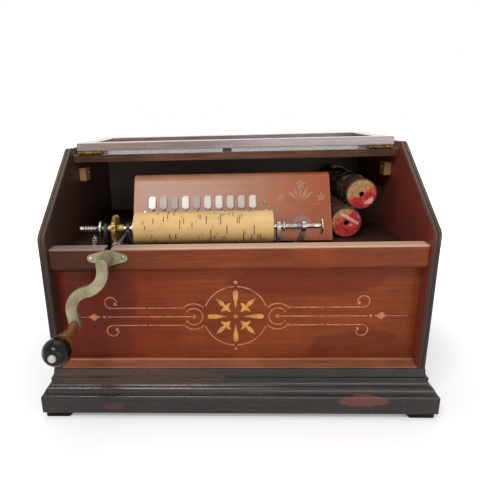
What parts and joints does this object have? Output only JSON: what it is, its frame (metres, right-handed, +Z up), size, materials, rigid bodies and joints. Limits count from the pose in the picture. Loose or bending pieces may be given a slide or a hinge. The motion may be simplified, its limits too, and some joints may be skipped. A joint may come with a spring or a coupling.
{
  "type": "roller organ",
  "caption": "Hand-cranked table organ: a worm turns a pinned wooden cob against reed keys in a wooden cabinet with a stepped base and a hinged glass lid.",
  "frame": {"origin": "on the table under the middle of the whole object's box, crank handle included", "axes": "+X to the player's right, +Y from the front rail to the back panel, +Z up"},
  "size_m": [0.483, 0.44, 0.326],
  "materials": {
    "base_wood": "ebonised, rubbed",
    "case_wood": "polished",
    "inner_wood": "plain",
    "cover_wood": "varnished",
    "cob_wood": "waxed",
    "spare_wood": "waxed",
    "handle_wood": "varnished",
    "ball_wood": "black gloss",
    "glass": "clear",
    "brass": "aged",
    "nickel": "dull nickel",
    "steel": "bright",
    "key_metal": "satin",
    "iron": "black",
    "cloth": "rubbed cloth",
    "rubber": "matte"
  },
  "bodies": {
    "case": {"base_front": "base_wood", "base_back": "base_wood", "base_sides": "base_wood", "bottom_board": "inner_wood", "corner_feet": "base_wood", "side_panel_left": "case_wood", "side_panel_right": "case_wood", "back_panel": "case_wood", "front_panel": "case_wood", "front_rail": "case_wood", "sill_moulding": "case_wood", "top_board": "case_wood", "stop_blocks": "inner_wood", "hinge_leaves_case": "brass", "crank_escutcheon": "nickel", "wood_screws": "steel", "action_shelf": "inner_wood", "drive_bracket": "iron", "tail_bracket": "iron", "key_cover": "cover_wood", "reed_chest": "inner_wood", "reeds": "brass", "key_pivot_wires": "steel", "rear_bearing": "inner_wood", "cob_rest": "inner_wood", "lid_bumper": "rubber", "feeder_cloth": "cloth", "reservoir_cloth": "cloth", "tail_spring": "steel"},
    "crank": {"crank_shaft": "steel", "worm": "steel", "crank_arm": "nickel"},
    "handle": {"handle_grip": "handle_wood", "handle_ball": "ball_wood"},
    "rod": {"connecting_rod": "steel"},
    "drive": {"drive_spindle": "steel", "worm_wheel": "brass", "cob_body": "cob_wood", "cob_pins": "brass", "return_spring": "steel"},
    "tail": {"tail_spindle": "steel", "tail_knob": "nickel"},
    "lid": {"lid_frame": "case_wood", "lid_glass": "glass", "hinge_leaves_lid": "brass"},
    "spare_lower": {"spare_cob_lower": "spare_wood"},
    "spare_upper": {"spare_cob_upper": "spare_wood"},
    "rear_key_row": {"rear_keys": "key_metal"},
    "feeder": {"feeder_board": "inner_wood"},
    "reservoir": {"reservoir_board": "inner_wood"},
    "front_key_01_body": {"front_key_01": "key_metal"},
    "front_key_02_body": {"front_key_02": "key_metal"},
    "front_key_03_body": {"front_key_03": "key_metal"},
    "front_key_04_body": {"front_key_04": "key_metal"},
    "front_key_05_body": {"front_key_05": "key_metal"},
    "front_key_06_body": {"front_key_06": "key_metal"},
    "front_key_07_body": {"front_key_07": "key_metal"},
    "front_key_08_body": {"front_key_08": "key_metal"},
    "front_key_09_body": {"front_key_09": "key_metal"},
    "front_key_10_body": {"front_key_10": "key_metal"}
  },
  "joints": [
    {"name": "crank_turn", "type": "hinge", "parent": "case", "child": "crank", "pos_m": [-0.1475, -0.12045, 0.2037], "axis": [0, 1, 0], "continuous": true},
    {"name": "handle_spin", "type": "hinge", "parent": "crank", "child": "handle", "pos_m": [-0.185, -0.17045, 0.1305], "axis": [0, 1, 0], "continuous": true},
    {"name": "cob_turn", "type": "hinge", "parent": "case", "child": "drive", "pos_m": [-0.1475, -0.06545, 0.2257], "axis": [1, 0, 0], "continuous": true},
    {"name": "rod_swing", "type": "hinge", "parent": "crank", "child": "rod", "pos_m": [-0.1475, 0.12355, 0.1947], "axis": [0, 1, 0], "continuous": true},
    {"name": "tail_slide", "type": "slide", "parent": "case", "child": "tail", "axis": [1, 0, 0], "range_m": [0, 0.012], "stiffness_N_per_m": 300, "springref_m": -0.004, "deforming": ["tail_spring"]},
    {"name": "lid_fold", "type": "hinge", "parent": "case", "child": "lid", "pos_m": [0, 0.00435, 0.3132], "axis": [1, 0, 0], "range_deg": [0, 215.4]},
    {"name": "spare_lower_slide", "type": "slide", "parent": "case", "child": "spare_lower", "axis": [0, 1, 0], "range_m": [-0.07, 0]},
    {"name": "spare_upper_slide", "type": "slide", "parent": "case", "child": "spare_upper", "axis": [0, 1, 0], "range_m": [-0.25, 0]},
    {"name": "front_key_01_press", "type": "hinge", "parent": "case", "child": "front_key_01_body", "pos_m": [-0.108, -0.02542, 0.23639], "axis": [1, 0, 0], "range_deg": [0, 6], "stiffness_Nm_per_rad": 0.02, "springref_deg": -11.46},
    {"name": "front_key_02_press", "type": "hinge", "parent": "case", "child": "front_key_02_body", "pos_m": [-0.0932, -0.02542, 0.23639], "axis": [1, 0, 0], "range_deg": [0, 6], "stiffness_Nm_per_rad": 0.02, "springref_deg": -11.46},
    {"name": "front_key_03_press", "type": "hinge", "parent": "case", "child": "front_key_03_body", "pos_m": [-0.0784, -0.02542, 0.23639], "axis": [1, 0, 0], "range_deg": [0, 6], "stiffness_Nm_per_rad": 0.02, "springref_deg": -11.46},
    {"name": "front_key_04_press", "type": "hinge", "parent": "case", "child": "front_key_04_body", "pos_m": [-0.0636, -0.02542, 0.23639], "axis": [1, 0, 0], "range_deg": [0, 6], "stiffness_Nm_per_rad": 0.02, "springref_deg": -11.46},
    {"name": "front_key_05_press", "type": "hinge", "parent": "case", "child": "front_key_05_body", "pos_m": [-0.0488, -0.02542, 0.23639], "axis": [1, 0, 0], "range_deg": [0, 6], "stiffness_Nm_per_rad": 0.02, "springref_deg": -11.46},
    {"name": "front_key_06_press", "type": "hinge", "parent": "case", "child": "front_key_06_body", "pos_m": [-0.034, -0.02542, 0.23639], "axis": [1, 0, 0], "range_deg": [0, 6], "stiffness_Nm_per_rad": 0.02, "springref_deg": -11.46},
    {"name": "front_key_07_press", "type": "hinge", "parent": "case", "child": "front_key_07_body", "pos_m": [-0.0192, -0.02542, 0.23639], "axis": [1, 0, 0], "range_deg": [0, 6], "stiffness_Nm_per_rad": 0.02, "springref_deg": -11.46},
    {"name": "front_key_08_press", "type": "hinge", "parent": "case", "child": "front_key_08_body", "pos_m": [-0.0044, -0.02542, 0.23639], "axis": [1, 0, 0], "range_deg": [0, 6], "stiffness_Nm_per_rad": 0.02, "springref_deg": -11.46},
    {"name": "front_key_09_press", "type": "hinge", "parent": "case", "child": "front_key_09_body", "pos_m": [0.0104, -0.02542, 0.23639], "axis": [1, 0, 0], "range_deg": [0, 6], "stiffness_Nm_per_rad": 0.02, "springref_deg": -11.46},
    {"name": "front_key_10_press", "type": "hinge", "parent": "case", "child": "front_key_10_body", "pos_m": [0.0252, -0.02542, 0.23639], "axis": [1, 0, 0], "range_deg": [0, 6], "stiffness_Nm_per_rad": 0.02, "springref_deg": -11.46},
    {"name": "rear_keys_press", "type": "hinge", "parent": "case", "child": "rear_key_row", "pos_m": [-0.034, -0.03898, 0.21132], "axis": [1, 0, 0], "range_deg": [0, 4], "stiffness_Nm_per_rad": 0.2, "springref_deg": -11.46},
    {"name": "feeder_pump", "type": "hinge", "parent": "case", "child": "feeder", "pos_m": [0.02, 0.06955, 0.182], "axis": [0, 1, 0], "range_deg": [0, 6], "deforming": ["feeder_cloth"]},
    {"name": "reservoir_swell", "type": "hinge", "parent": "case", "child": "reservoir", "pos_m": [0.19, -0.03045, 0.064], "axis": [0, 1, 0], "range_deg": [0, 5], "deforming": ["reservoir_cloth"]}
  ],
  "couplings": [
    {"joint": "cob_turn", "follows": "crank_turn", "ratio": -0.03125},
    {"joint": "rod_swing", "follows": "crank_turn", "ratio": -1}
  ]
}
